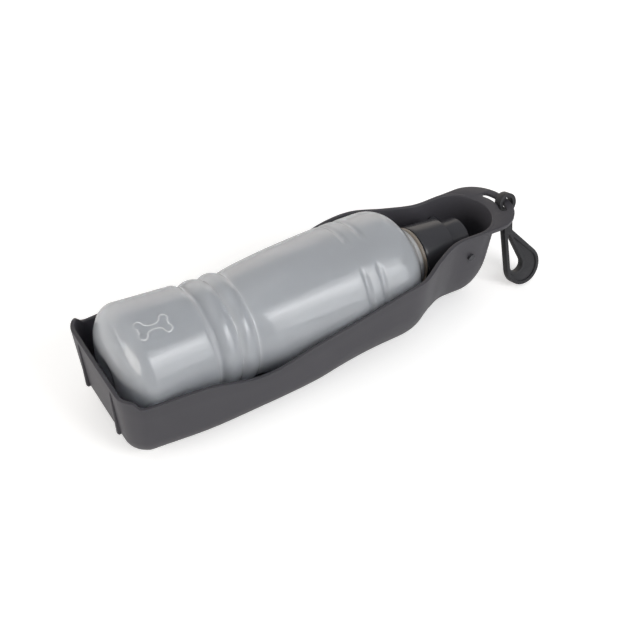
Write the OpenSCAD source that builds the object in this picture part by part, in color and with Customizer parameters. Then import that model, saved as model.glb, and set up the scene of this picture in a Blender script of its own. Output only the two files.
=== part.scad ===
// Folding travel water bottle for dogs.
// A squeeze bottle lies in a drinking tray and swings up out of it on two trunnions.
// Origin: on the flat underside, straight below the pivot. +X runs towards the hanging strap,
// +Z is up, and all sizes are in millimetres.

/* [Pivot and cap] */
// Height of the bottle's axis above the underside
axis_z = 36; // [35.5:0.5:38]
// Height of the trunnions above the bottle's axis
trunnion_up = 2.6; // [2:0.1:3.2]
// Radius of the trunnions on the pivot head
trunnion_r = 2; // [1.5:0.1:2.5]
// Radius of the pivot head that the trunnions stand on
head_r = 12.4; // [12.2:0.1:13.2]
// Distance from the pivot to the outlet face of the head
head_front = 6.6; // [6:0.1:7.2]
// Distance from the pivot back to the step between head and screw cap
cap_front = 6.6; // [6.2:0.1:7.4]
// Length of the screw cap
cap_len = 20.4; // [20:0.1:21]
// Radius of the screw cap beside the head
cap_r = 15.7; // [15.5:0.1:16.2]
// Radius of the screw cap at its open rim
cap_rim_r = 16.8; // [16.6:0.1:17]
// Thickness of the washer between the cap and the bottle's lip
washer_t = 1.6; // [1.2:0.1:2.2]
// Outer radius of the spout on the cap
spout_r = 9.2; // [8.8:0.1:9.6]
// Radius of the two valve ports
port_r = 2.4; // [1.8:0.1:2.8]
// Distance of the valve ports from the axis
port_off = 4.6; // [4.2:0.1:5]

/* [Bottle] */
// Distance from the pivot back to the bottle's base
base_back = 210; // [208:0.2:210.6]
// Radius of the bottle at the full end of the base section
base_r = 32.2; // [31:0.1:32.6]
// Radius of the bottle where the base section meets the grip
base_end_r = 30.2; // [29.6:0.1:31]
// Axial reach of the rounding at the base
base_round_x = 14; // [10:0.5:18]
// Radial reach of the rounding at the base
base_round_r = 23; // [16:0.5:24]
// Distance from the pivot back to the middle groove of the grip
grip_back = 149; // [148:0.2:151]
// Spacing of the grip's grooves
grip_pitch = 11.5; // [10.8:0.1:12]
// Radius at the bottom of a grip groove
grip_r = 27.8; // [27:0.1:28.4]
// Height of the ribs between the grip's grooves
grip_rib = 1.9; // [1.2:0.1:2.4]
// Largest radius of the body at the shoulder
shoulder_r = 33; // [32:0.1:33.2]
// Distance from the pivot back to where the shoulder starts to close in
shoulder_back = 50; // [49:0.5:52]
// Distance from the pivot back to the end of the shoulder at the neck
neck_back = 31; // [30.6:0.1:31.6]
// Depth of the two finger grooves on the shoulder
finger_groove = 1.1; // [0.6:0.1:1.4]
// Half of the angle of the smooth panel between the ends of the finger grooves
finger_gap = 14; // [12:1:20]
// Angle of the smooth panel from the top towards the near side
finger_turn = 25.5; // [20:0.5:30]
// Radius of the neck outside its thread
neck_r = 13.7; // [13.2:0.1:13.9]
// Radius of the bore of the neck
neck_bore_r = 11.6; // [11:0.1:11.8]
// Wall of the bottle
bottle_wall = 1.1; // [0.8:0.1:1.4]

/* [Tray] */
// Distance from the pivot back to the outer face of the end wall at its rim
tray_back = 216.2; // [215.8:0.2:218]
// Wall and floor of the tray
tray_wall = 2.2; // [1.6:0.1:2.4]
// Width of the rounding between floor and sides beside the bottle's base
round_w = 18; // [14:0.5:20]
// Width of the rounding between floor and sides under the shoulder
shoulder_round_w = 23; // [20:0.5:26]
// Width of the rounding between floor and wall round the bowl
bowl_round_w = 16; // [12:0.5:16.5]
// Height of the rounding under the shoulder and the bowl
round_h = 29; // [24:0.5:30]
// Outer half width of the tray just inside its end wall
end_half_w = 36.2; // [35.8:0.2:38]
// Outer half width at the widest place of the tray
belly_half_w = 38.8; // [38:0.2:41]
// Outer half width beside the bottle's shoulder
shoulder_half_w = 37; // [36.8:0.2:39]
// Outer radius of the bowl end at its rim
bowl_r = 20.7; // [20.5:0.1:22]
// Distance of the bowl's centre past the pivot
bowl_x = 5; // [4:0.2:6]
// Radius of the tray's corners in plan
corner_r = 11; // [9:0.5:14]
// Draft of the side walls in degrees
side_draft = 4; // [3:0.5:4.5]
// Height of the ears at the end wall
ear_h = 47; // [45:0.5:49]
// Height of the side rim beside the bottle's base
base_rim_h = 42; // [40:0.5:44]
// Height of the rim at its lowest place, beside the grip
grip_rim_h = 33; // [30:0.5:36]
// Height of the rim at the bowl end
bowl_rim_h = 53; // [52:0.5:56]
// Distance of the two outer fins from the middle
fin_y = 18.5; // [15:0.5:20]
// Thickness of a fin
fin_t = 1.8; // [1.2:0.1:2.4]
// Height of the lower end of the fins above the underside
fin_low = 13.5; // [12:0.5:16]

/* [Hanging lug and strap] */
// Radius of the flat lug round the bowl end
lug_r = 21; // [20:0.1:22]
// Distance of the lug's centre past the pivot
lug_x = 18.5; // [18:0.1:19]
// Thickness of the lug
lug_t = 2.4; // [2:0.1:2.8]
// Width of the bar outside the slot
bar_w = 4.2; // [3.6:0.1:4.4]
// Width of the slot behind the bar
slot_w = 4.6; // [4.4:0.1:5]
// Half angle of the slot about the lug's centre
slot_half_angle = 31; // [28:1:34]
// Place of the strap along the bar
strap_y = -2.4; // [-3:0.2:-1.8]
// Bore radius of the strap's eye
eye_bore_r = 3.6; // [3.5:0.1:3.8]
// Outer radius of the strap's eye
eye_r = 5.8; // [5.6:0.1:6]
// Width of the strap's eye along the bar
eye_w = 5; // [4.4:0.1:5.2]
// Length from the eye's centre to the lower end of the strap
strap_len = 54.6; // [52:0.5:55]
// Radius of the strap's lower end
strap_end_r = 11.8; // [10.5:0.1:12.5]
// Width of the strap's stem below the eye
stem_w = 5.6; // [5:0.2:6.4]
// Thickness of the strap at its raised rims
strap_t = 4.2; // [3.4:0.1:4.4]
// Depth of the recess in each face of the strap
strap_recess = 1.1; // [0.6:0.1:1.4]
// Sideways lean of the strap in degrees, as it stands on its tip
strap_lean = 20; // [18:1:24]
// Outward tilt of the strap in degrees, as it stands on its tip
strap_tilt = 6.5; // [4:0.5:10]

/* [Hidden] */
$fn = 96;

dark_plastic = [0.27, 0.27, 0.29];
cap_plastic = [0.17, 0.17, 0.18];
milky_plastic = [0.78, 0.80, 0.82, 0.6];
seal_rubber = [0.72, 0.72, 0.70];

// Clearances
run_gap = 0.06;      // radial gap of a running fit
free_gap = 0.4;      // gap between pieces of different bodies
seal_gap = 0.05;     // gap at a face that seals when it is tightened

// ---- small helpers ---------------------------------------------------------

// Puts a profile that is turned about Z onto the bottle's axis, with its +Z along +X.
module on_axis(x = 0) {
    translate([x, 0, axis_z]) rotate([0, 90, 0]) children();
}

// Index of the span of the keys that holds x.
function span(keys, x, k = 0) =
    (k >= len(keys) - 2 || x < keys[k + 1][0]) ? k : span(keys, x, k + 1);

// Slope of the curve through the keys at key k.
function key_slope(keys, k) =
    let (a = max(k - 1, 0), b = min(k + 1, len(keys) - 1))
    (keys[b][1] - keys[a][1]) / (keys[b][0] - keys[a][0]);

// Smooth curve through keys of [place, value].
function curve(keys, x) =
    let (k = span(keys, x),
         h = keys[k + 1][0] - keys[k][0],
         t = min(max((x - keys[k][0]) / h, 0), 1),
         t2 = t * t,
         t3 = t2 * t)
    (2 * t3 - 3 * t2 + 1) * keys[k][1] + (t3 - 2 * t2 + t) * h * key_slope(keys, k)
    + (3 * t2 - 2 * t3) * keys[k + 1][1] + (t3 - t2) * h * key_slope(keys, k + 1);

// ---- tray ------------------------------------------------------------------

side_steps = 44;     // steps along a side
bowl_steps = 24;     // steps round the bowl end
corner_steps = 9;    // steps round a corner
round_steps = 6;     // steps up the rounding of the floor
rim_bevel = 0.5;     // bevel along the rim
end_draft = 7;       // draft of the end wall in degrees
floor_corner = 4;    // corner radius of the flat floor
ear_reach = 4.6;     // length of the ears along the sides
ear_fall = 3.8;      // length of the step down from an ear

shoulder_x = -60;    // where the tray is set beside the bottle's shoulder
belly_x = -173;      // widest place of the tray
grip_x = -142;       // lowest place of the rim
throat_x = -12;      // where the sides have closed in to the bowl's width

// Outer half width along the rim.
width_keys = [
    [-tray_back, end_half_w - 1.4],
    [-tray_back + 14, end_half_w],
    [belly_x, belly_half_w],
    [grip_x, belly_half_w - 1.2],
    [-111, shoulder_half_w + 0.3],
    [-80, shoulder_half_w - 0.1],
    [shoulder_x, shoulder_half_w],
    [-44, shoulder_half_w - 1.6],
    [-28, (shoulder_half_w + bowl_r) / 2 - 1.6],
    [throat_x, bowl_r + 0.2],
    [bowl_x, bowl_r]];

// Height of the rim along the tray.
rim_keys = [
    [-tray_back, ear_h],
    [-tray_back + ear_reach, ear_h],
    [-tray_back + ear_reach + ear_fall, base_rim_h + 0.8],
    [-tray_back + 14, base_rim_h],
    [belly_x, base_rim_h],
    [grip_x, grip_rim_h],
    [-111, (grip_rim_h + bowl_rim_h) / 2 - 4],
    [-80, (grip_rim_h + bowl_rim_h) / 2 + 1.6],
    [shoulder_x, bowl_rim_h - 3.6],
    [-45, bowl_rim_h - 2.2],
    [throat_x, bowl_rim_h],
    [bowl_x + lug_r, bowl_rim_h]];

// One closed plan outline, counter-clockwise from where the end wall meets its near corner.
// back: place of the end, r: corner radius, bowl: radius of the bowl end, and shrink: a
// function that gives how far the sides lie inside the rim's outline at x.
function plan(back, r, bowl, shrink) =
    let (start = -back + r,
         w0 = curve(width_keys, start) - shrink(start),
         run = bowl_x - start)
    concat(
        [for (i = [0:corner_steps - 1])
            let (a = 180 + 90 * i / corner_steps)
            [start + r * cos(a), -w0 + r + r * sin(a)]],
        [for (i = [0:side_steps - 1])
            let (x = start + run * i / side_steps)
            [x, -(curve(width_keys, x) - shrink(x))]],
        [for (i = [0:bowl_steps])
            let (a = -90 + 180 * i / bowl_steps)
            [bowl_x + bowl * cos(a), bowl * sin(a)]],
        [for (i = [side_steps - 1:-1:0])
            let (x = start + run * i / side_steps)
            [x, curve(width_keys, x) - shrink(x)]],
        [for (i = [1:corner_steps])
            let (a = 90 + 90 * i / corner_steps)
            [start + r * cos(a), w0 - r + r * sin(a)]]);

// Outward unit normal at point i of a closed outline.
function outward(pts, i) =
    let (n = len(pts),
         d = pts[(i + 1) % n] - pts[(i + n - 1) % n],
         s = norm(d))
    [d[1] / s, -d[0] / s];

function rim_height(x) = curve(rim_keys, x);

// The section's lower corners are quarter ellipses, which grow towards the shoulder.
round_w_keys = [
    [-tray_back, round_w - 4],
    [belly_x, round_w],
    [-111, round_w - 1],
    [-85, shoulder_round_w - 2],
    [shoulder_x, shoulder_round_w],
    [throat_x, bowl_round_w],
    [bowl_x, bowl_round_w]];

round_h_keys = [
    [-tray_back, round_h - 12],
    [belly_x, round_h - 13],
    [-111, round_h - 12],
    [-85, round_h - 4],
    [shoulder_x, round_h],
    [bowl_x, round_h]];

// How far the flat floor's edge lies inside the rim, for a wall of the given draft.
function floor_inset(x, draft) = rim_height(x) * tan(draft) + curve(round_w_keys, x);

rim_plan = plan(tray_back, corner_r, bowl_r, function (x) 0);
floor_plan = plan(
    tray_back - floor_inset(-tray_back, end_draft),
    floor_corner,
    bowl_r - floor_inset(bowl_x, side_draft),
    function (x) floor_inset(x, side_draft));
n_plan = len(rim_plan);

// Share of the way from the floor's edge to the rim, at height z and rounding angle a.
function reach(top, z, a, across, low) =
    1 - ((top - z) * tan(side_draft) + across * (1 - cos(a)))
        / ((top - low) * tan(side_draft) + across);

// A ring of the tray's surface. skin is the depth below the outer surface, a the angle up
// the floor's rounding, and up the share of the straight wall above the rounding.
function wall_ring(skin, a, up) =
    [for (i = [0:n_plan - 1])
        let (p = rim_plan[i],
             top = rim_height(p[0]),
             across = curve(round_w_keys, p[0]) - skin,
             high = curve(round_h_keys, p[0]),
             z = up > 0 ? high + (top - (up == 1 ? rim_bevel : 0) - high) * up
                        : high - (high - skin) * sin(a),
             q = p - outward(rim_plan, i) * skin,
             s = reach(top, z, a, across, skin),
             xy = floor_plan[i] + (q - floor_plan[i]) * s)
        [xy[0], xy[1], z]];

// A ring on the flat of the rim, at a depth inside the outer edge.
function rim_ring(depth) =
    [for (i = [0:n_plan - 1])
        let (p = rim_plan[i],
             q = p - outward(rim_plan, i) * depth)
        [q[0], q[1], rim_height(p[0])]];

tray_rings = concat(
    [for (j = [0:round_steps]) wall_ring(0, 90 - 90 * j / round_steps, 0)],
    [wall_ring(0, 0, 0.5), wall_ring(0, 0, 1)],
    [rim_ring(rim_bevel), rim_ring(tray_wall - rim_bevel)],
    [wall_ring(tray_wall, 0, 1), wall_ring(tray_wall, 0, 0.5)],
    [for (j = [0:round_steps]) wall_ring(tray_wall, 90 * j / round_steps, 0)]);

// Triangles between ring j and the next one.
function ring_strip(j, n) =
    [for (i = [0:n - 1])
        let (k = (i + 1) % n)
        each [[j * n + i, (j + 1) * n + i, (j + 1) * n + k],
              [j * n + i, (j + 1) * n + k, j * n + k]]];

// Triangles across a flat ring whose point k faces its mirror image n - 1 - k.
function flat_cap(first, n) =
    let (tip = (n - 1) / 2)
    concat(
        [for (k = [0:tip - 2])
            each [[first + k, first + k + 1, first + n - 2 - k],
                  [first + k, first + n - 2 - k, first + n - 1 - k]]],
        [[first + tip - 1, first + tip, first + tip + 1]]);

function flipped(faces) = [for (f = faces) [f[2], f[1], f[0]]];

module tray_shell() {
    rings = len(tray_rings);
    polyhedron(
        points = [for (r = tray_rings) each r],
        faces = concat(
            [for (j = [0:rings - 2]) each ring_strip(j, n_plan)],
            flat_cap(0, n_plan),
            flipped(flat_cap((rings - 1) * n_plan, n_plan))),
        convexity = 6);
}

// Curved slot with round ends, about the lug's centre.
module slot_outline() {
    mid_r = lug_r - bar_w - slot_w / 2;
    end_r = slot_w / 2;
    steps = 12;
    polygon(concat(
        [for (i = [0:steps])
            let (a = -slot_half_angle + 2 * slot_half_angle * i / steps)
            (mid_r + end_r) * [cos(a), sin(a)]],
        [for (i = [1:steps - 1])
            let (a = slot_half_angle + 180 * i / steps)
            mid_r * [cos(slot_half_angle), sin(slot_half_angle)] + end_r * [cos(a), sin(a)]],
        [for (i = [0:steps])
            let (a = slot_half_angle - 2 * slot_half_angle * i / steps)
            (mid_r - end_r) * [cos(a), sin(a)]],
        [for (i = [1:steps - 1])
            let (a = 180 - slot_half_angle + 180 * i / steps)
            mid_r * [cos(slot_half_angle), -sin(slot_half_angle)] + end_r * [cos(a), sin(a)]]));
}

// Two circles and what lies between them, so that the lug runs on from the side walls.
module lug_outline() {
    translate([lug_x, 0]) circle(r = lug_r);
    polygon([[bowl_x, -bowl_r], [lug_x, -lug_r], [lug_x, lug_r], [bowl_x, bowl_r]]);
}

module lug() {
    translate([0, 0, bowl_rim_h - lug_t])
        difference() {
            linear_extrude(lug_t) lug_outline();
            translate([bowl_x, 0, -1]) cylinder(r = bowl_r - tray_wall / 2, h = lug_t + 2);
            translate([lug_x - 2 * lug_r, -lug_r, -1])
                cube([2 * lug_r - lug_x + bowl_x, 2 * lug_r, lug_t + 2]);
            translate([lug_x, 0, -1]) linear_extrude(lug_t + 2) slot_outline();
        }
}

// Triangular fin that stands straight down from the rim on the outside of the end wall.
module fin() {
    // The end wall leans away from the fin's upright outer edge.
    wall_top = -tray_back + tray_wall / 2;
    wall_low = wall_top + (ear_h - fin_low) * tan(end_draft);
    translate([0, fin_t / 2, 0])
        rotate([90, 0, 0])
            linear_extrude(fin_t)
                polygon([
                    [-tray_back + 0.5, ear_h - 2],
                    [-tray_back - 0.2, ear_h - 4],
                    [-tray_back + 1, fin_low + 1],
                    [-tray_back + 1.8, fin_low],
                    [wall_low + 1, fin_low],
                    [wall_top, ear_h - 2]]);
}

module tray() {
    color(dark_plastic)
        difference() {
            union() {
                tray_shell();
                lug();
                for (side = [-1, 1]) translate([0, side * fin_y, 0]) fin();
            }
            translate([0, 0, axis_z + trunnion_up])
                rotate([90, 0, 0])
                    cylinder(r = trunnion_r + run_gap, h = 4 * bowl_r, center = true);
        }
}

// ---- hanging strap -----------------------------------------------------------

// Outline of a small circle and a large one, joined by their outer tangents.
module teardrop(small, small_r, large, large_r) {
    d = large - small;
    heading = atan2(d[1], d[0]);
    spread = 90 + asin((large_r - small_r) / norm(d));
    steps = 28;
    polygon(concat(
        [for (i = [0:steps])
            let (a = heading - spread + 2 * spread * i / steps)
            large + large_r * [cos(a), sin(a)]],
        [for (i = [0:steps / 2])
            let (a = heading + spread + (360 - 2 * spread) * i / (steps / 2))
            small + small_r * [cos(a), sin(a)]]));
}

rim_w = 2;                                       // width of the strap's outer rim
hole_rim_w = 1.4;                                // width of the rim round its hole
strap_low = [4.1, strap_end_r - strap_len];      // centre of the lower end
stem_low = [-2.6, -0.33 * strap_len];            // where the stem widens
hole_low = strap_low + [-4.8, 2.8];              // centre of the hole's round end
hole_top = stem_low + [0, -2.4];                 // centre of the hole's narrow end
hole_low_r = 0.4 * strap_end_r;
hole_top_r = 0.9;

module strap_hole(grow = 0) {
    teardrop(hole_top, hole_top_r + grow, hole_low, hole_low_r + grow);
}

module strap_outline() {
    teardrop(stem_low, stem_w / 2, strap_low, strap_end_r);
    teardrop([0, -eye_r + 1], stem_w / 2, stem_low, stem_w / 2 + 0.01);
}

module strap_recess_outline() {
    difference() {
        teardrop(stem_low + [2.8, -5], 0.8, strap_low, strap_end_r - rim_w);
        strap_hole(hole_rim_w);
    }
}

// Stands an outline of the strap's plane upright, with a thickness along Y.
module upright(t) {
    rotate([90, 0, 0]) linear_extrude(t, center = true) children();
}

// The strap in its own plane: the eye's axis is Y, the stem hangs towards -Z.
module strap_flat() {
    difference() {
        union() {
            upright(eye_w) circle(r = eye_r);
            upright(strap_t) strap_outline();
        }
        upright(2 * eye_w) circle(r = eye_bore_r);
        upright(2 * strap_t) strap_hole();
        for (face = [-1, 1])
            translate([0, face * strap_t / 2, 0])
                upright(2 * strap_recess) strap_recess_outline();
    }
}

bar_r = lug_r - bar_w / 2;
bar_x = lug_x + sqrt(bar_r * bar_r - strap_y * strap_y);
bar_z = bowl_rim_h - lug_t / 2;

module hang_strap() {
    color(dark_plastic)
        translate([bar_x, strap_y, bar_z])
            rotate([0, -strap_tilt, 0])
                rotate([-strap_lean, 0, 0])
                    strap_flat();
}

// ---- pivot head and valve ------------------------------------------------------

head_wall = 2;                               // end wall of the head
head_back = -cap_front + free_gap;           // the head's open end, past the cap's step
seal_t = 1.4;                                // thickness of the valve seal
head_inner = head_front - head_wall;         // inside face of the head's end wall
spout_end = head_inner - seal_t - 0.1;       // outlet face of the cap's spout
spout_wall = 2;                              // wall of the spout
o_ring_r = 0.6;                              // half thickness of the O-ring
boss_r = 4.2;                                // boss at the root of a trunnion
edge = 0.8;                                  // rounding of the cap's and the head's edges
trunnion_z = axis_z + trunnion_up;
low_boss = rim_height(0) - trunnion_z + boss_r;  // depth of a boss's lowest point below the rim
inner_half_w = curve(width_keys, 0) - tray_wall - low_boss * tan(side_draft);
trunnion_end = curve(width_keys, 0) + 0.4;   // the trunnions stand out of the walls

// Upper corner of a turned profile at radius r and height z, rounded by e.
function round_corner(z, r, e) =
    [for (i = [0:4])
        let (a = 90 * i / 4)
        [r - e + e * cos(a), z - e + e * sin(a)]];

module pivot_head() {
    bore = spout_r + run_gap;
    color(cap_plastic)
        difference() {
            union() {
                on_axis() rotate_extrude()
                    polygon(concat(
                        [[0, head_back]],
                        [[head_r, head_back]],
                        round_corner(head_front, head_r, edge),
                        [[0, head_front]]));
                translate([0, 0, trunnion_z])
                    rotate([90, 0, 0]) {
                        cylinder(r = boss_r, h = 2 * (inner_half_w - free_gap), center = true);
                        cylinder(r = trunnion_r, h = 2 * trunnion_end, center = true);
                    }
            }
            on_axis(head_back - 1) cylinder(r = bore, h = head_inner - head_back + 1);
            on_axis(head_inner - 1)
                translate([0, port_off, 0]) cylinder(r = port_r, h = head_wall + 2);
        }
}

// Soft disc against the end wall, with its port in line with the head's.
module valve_seal() {
    color(seal_rubber)
        on_axis(head_inner - seal_t)
            difference() {
                cylinder(r = spout_r - 0.3, h = seal_t);
                translate([0, port_off, -1]) cylinder(r = port_r, h = seal_t + 2);
            }
}

// ---- screw cap -------------------------------------------------------------------

cap_back = -cap_front - cap_len;             // open rim of the cap
cap_plate = 2.6;                             // end plate of the cap
plate_in = -cap_front - cap_plate;           // inside face of the end plate
thread_gap = 0.7;                            // gap for the thread between cap and neck
cap_bore = neck_r + thread_gap;
o_ring_x = -2.4;                             // place of the O-ring on the spout
groove_r = spout_r - 2 * o_ring_r;           // floor of the O-ring's groove

module screw_cap() {
    spout_in = spout_r - spout_wall;
    color(cap_plastic)
        on_axis()
            difference() {
                rotate_extrude()
                    polygon(concat(
                        [[cap_bore, cap_back]],
                        [[cap_rim_r, cap_back], [cap_rim_r, cap_back + 1.6]],
                        round_corner(-cap_front, cap_r, edge),
                        [[spout_r, -cap_front],
                         [spout_r, o_ring_x - o_ring_r],
                         [groove_r, o_ring_x - o_ring_r],
                         [groove_r, o_ring_x + o_ring_r],
                         [spout_r, o_ring_x + o_ring_r],
                         [spout_r, spout_end],
                         [0, spout_end],
                         [0, spout_end - spout_wall],
                         [spout_in, spout_end - spout_wall],
                         [spout_in, plate_in],
                         [cap_bore, plate_in]]));
                translate([-port_off, 0, spout_end - 2 * spout_wall])
                    cylinder(r = port_r, h = 3 * spout_wall);
            }
}

module spout_o_ring() {
    color(seal_rubber)
        on_axis(o_ring_x)
            rotate_extrude()
                translate([groove_r + o_ring_r, 0])
                    circle(r = o_ring_r - 0.02, $fn = 32);
}

module cap_washer() {
    color(seal_rubber)
        on_axis(plate_in - washer_t)
            difference() {
                cylinder(r = neck_r - 0.2, h = washer_t);
                translate([0, 0, -1]) cylinder(r = neck_bore_r - 0.6, h = washer_t + 2);
            }
}

// ---- bottle ------------------------------------------------------------------------

lip_x = plate_in - washer_t - seal_gap;      // the neck's lip stands against the washer
bead_t = 2.4;                                // thickness of the bead under the cap
bead_x = cap_back - free_gap - bead_t;       // the bead lies just under the cap's rim
bead_r = 17;                                 // radius of the bead
base_x = -base_back;
grip_x0 = -grip_back - 1.5 * grip_pitch;     // where the grip starts
grip_x1 = -grip_back + 1.5 * grip_pitch;     // where the grip ends
finger_x = [-76, -66.5];                     // places of the finger grooves
finger_w = 2.6;                              // half width of a finger groove
push_up = 1.6;                               // hollow under the base

// Radius of the body from the grip to the neck.
body_keys = [
    [grip_x1 - grip_pitch / 2, grip_r],
    [grip_x1 - 1.4, grip_r + 1.2],
    [grip_x1 + 8, grip_r + 2.4],
    [-111, shoulder_r - 1.6],
    [-92, shoulder_r - 0.5],
    [-78, shoulder_r],
    [-shoulder_back - 8, shoulder_r],
    [-shoulder_back, shoulder_r - 0.2],
    [-shoulder_back + 4, shoulder_r - 1.2],
    [-41.8, 29.3],
    [-37.8, 24.7],
    [-34, 19.8],
    [-neck_back, 17.8],
    [bead_x, bead_r - 0.4]];

// Radius of a grip rib between two grooves, with t from 0 to 1.
function rib(t) = grip_r + grip_rib * (1 - pow(abs(2 * t - 1), 2.6));

// Outer profile of the bottle from the base to the neck, as [radius, x].
function outer_profile(wall) =
    let (cx = base_x + base_round_x,
         cr = base_r - base_round_r)
    concat(
        [for (i = [0:10])
            let (a = 90 * i / 10)
            [cr + (base_round_r - wall) * sin(a), cx - (base_round_x - wall) * cos(a)]],
        [for (i = [1:5])
            let (t = i / 6,
                 x = cx + (grip_x0 + 1 - cx) * t)
            [base_r + (base_end_r - base_r) * t - wall, x]],
        [[base_end_r - 0.1 - wall, grip_x0 + 1.6],
         [base_end_r - 0.8 - wall, grip_x0 + 3],
         [grip_r + 0.5 - wall, grip_x0 + 4.2]],
        [for (g = [0:1]) for (i = [0:9])
            let (t = i / 10)
            [rib(t) - wall, grip_x0 + (g + 0.5 + t) * grip_pitch]],
        [for (i = [0:40])
            let (x = grip_x1 - grip_pitch / 2 + (bead_x - grip_x1 + grip_pitch / 2) * i / 40)
            [curve(body_keys, x) - wall, x]]);

module finger_grooves(wall) {
    // Each groove is open over the smooth panel that the shoulder keeps.
    for (x = finger_x)
        on_axis(x)
            rotate([0, 0, 180 + finger_turn + finger_gap])
                rotate_extrude(angle = 360 - 2 * finger_gap)
                    translate([shoulder_r + finger_w - finger_groove, 0])
                        circle(r = finger_w + wall, $fn = 40);
}

module bottle() {
    color(milky_plastic)
        difference() {
            difference() {
                on_axis() rotate_extrude()
                    polygon(concat(
                        [[0, base_x + push_up]],
                        [[base_r - base_round_r - 3, base_x + push_up / 2]],
                        outer_profile(0),
                        [[bead_r, bead_x], [bead_r, bead_x + bead_t],
                         [neck_r, bead_x + bead_t], [neck_r, lip_x], [0, lip_x]]));
                finger_grooves(0);
            }
            difference() {
                on_axis() rotate_extrude()
                    polygon(concat(
                        [[0, base_x + push_up + bottle_wall]],
                        [[base_r - base_round_r - 3, base_x + push_up / 2 + bottle_wall]],
                        outer_profile(bottle_wall),
                        [[neck_bore_r, bead_x + 1], [neck_bore_r, lip_x + 1], [0, lip_x + 1]]));
                finger_grooves(bottle_wall);
            }
        }
}

tray();
hang_strap();
pivot_head();
valve_seal();
screw_cap();
spout_o_ring();
cap_washer();
bottle();
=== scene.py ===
# %% [markdown]
# # A folding water bottle for dogs
# The object is a milky squeeze bottle that lies in a dark drinking tray and swings up out of
# it on two trunnions. A strap hangs from the tray's lug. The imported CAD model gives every
# piece its place and size. This lesson makes the surfaces: a finer bottle with its embossed
# bone, threads, softened edges, and a material for each plastic.

import math

import bmesh
import bpy
import numpy as np
from mathutils import Matrix, Vector


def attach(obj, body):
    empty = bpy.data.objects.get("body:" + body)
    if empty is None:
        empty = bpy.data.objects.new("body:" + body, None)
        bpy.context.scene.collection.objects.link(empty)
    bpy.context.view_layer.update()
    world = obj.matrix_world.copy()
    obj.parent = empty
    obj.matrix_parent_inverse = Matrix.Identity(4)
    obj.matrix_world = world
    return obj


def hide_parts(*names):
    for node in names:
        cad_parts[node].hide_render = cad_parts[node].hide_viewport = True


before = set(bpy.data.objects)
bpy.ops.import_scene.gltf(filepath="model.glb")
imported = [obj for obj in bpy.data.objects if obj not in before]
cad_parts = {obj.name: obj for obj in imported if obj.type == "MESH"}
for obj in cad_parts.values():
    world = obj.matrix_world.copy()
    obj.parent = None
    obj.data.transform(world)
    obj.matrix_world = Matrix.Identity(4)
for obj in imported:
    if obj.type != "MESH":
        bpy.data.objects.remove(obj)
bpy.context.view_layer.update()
MM = 0.001
AXIS_Z = 36.0
print("nodes:", sorted(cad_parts))

# %% [markdown]
# ## Camera
# The camera stands where the photographer's is worked out to have stood: half a metre away
# and well above the tray, turned a few degrees about its own axis, with a lens a little
# longer than normal. Its three axes are written out instead of a look-at, because the small
# roll is part of the view.

# %% Camera
LENS_MM = 56.25
SENSOR_MM = 36.0
CAMERA_AT = Vector((-0.3187, -0.3302, 0.3884))
CAMERA_RIGHT = Vector((0.840176, -0.540422, 0.045254))
CAMERA_DOWN = Vector((-0.339960, -0.589859, -0.732457))


def make_camera():
    data = bpy.data.cameras.new("camera")
    data.lens = LENS_MM
    data.sensor_width = SENSOR_MM
    data.sensor_fit = "HORIZONTAL"
    camera = bpy.data.objects.new("camera", data)
    bpy.context.scene.collection.objects.link(camera)
    up = -CAMERA_DOWN
    back = CAMERA_RIGHT.cross(up)
    turn = Matrix((CAMERA_RIGHT, up, back)).transposed().to_4x4()
    camera.matrix_world = Matrix.Translation(CAMERA_AT) @ turn
    bpy.context.scene.camera = camera


make_camera()
print("camera at", tuple(CAMERA_AT), "with a lens of", LENS_MM, "mm")

# %% [markdown]
# ## Light and floor
# A glossy bottle shows its lamps, so their places come from the photograph's reflections.
# Each bright patch on the bottle gives a mirrored ray, and the rays of the long band meet in
# a soft box in front. It is three lamps with one upper edge, so it is brightest there, and
# its reflection starts crisp and fades downwards as the photograph's does. The warm zone
# along the top mirrors a low wall behind the table, and a card on the left lights the end.
# The floor and the room are lifted to white only where the camera sees them, straight or
# through the bottle's clear wall. That lightens the bottle, as a white backdrop behind it
# would, and puts hardly any more light on the dark plastics.

# %% Light and floor
ROOM_LEVEL = 0.36
ROOM_SHADE = (0.98, 0.99, 1.0, 1.0)
WHITE = (1.0, 1.0, 1.0, 1.0)
PALE = (0.93, 0.93, 0.93, 1.0)
FLOOR_HALF = 4.0
FLOOR_LIFT = 0.4


def node_link(tree, source, socket, target, name):
    tree.links.new(source.outputs[socket], target.inputs[name])


def seen_directly(tree):
    """A node whose Value is 1 for what the camera sees, also through the clear bottle."""
    path = tree.nodes.new("ShaderNodeLightPath")
    seen = tree.nodes.new("ShaderNodeMath")
    seen.operation = "MAXIMUM"
    tree.links.new(path.outputs["Is Camera Ray"], seen.inputs[0])
    tree.links.new(path.outputs["Is Transmission Ray"], seen.inputs[1])
    return seen


def make_world():
    world = bpy.data.worlds.new("studio")
    bpy.context.scene.world = world
    world.use_nodes = True
    tree = world.node_tree
    background = tree.nodes["Background"]
    mix = tree.nodes.new("ShaderNodeMixShader")
    seen = tree.nodes.new("ShaderNodeBackground")
    background.inputs["Color"].default_value = ROOM_SHADE
    background.inputs["Strength"].default_value = ROOM_LEVEL
    seen.inputs["Color"].default_value = WHITE
    seen.inputs["Strength"].default_value = 1.0
    node_link(tree, seen_directly(tree), "Value", mix, 0)
    node_link(tree, background, "Background", mix, 1)
    node_link(tree, seen, "Background", mix, 2)
    node_link(tree, mix, "Shader", tree.nodes["World Output"], "Surface")


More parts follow.
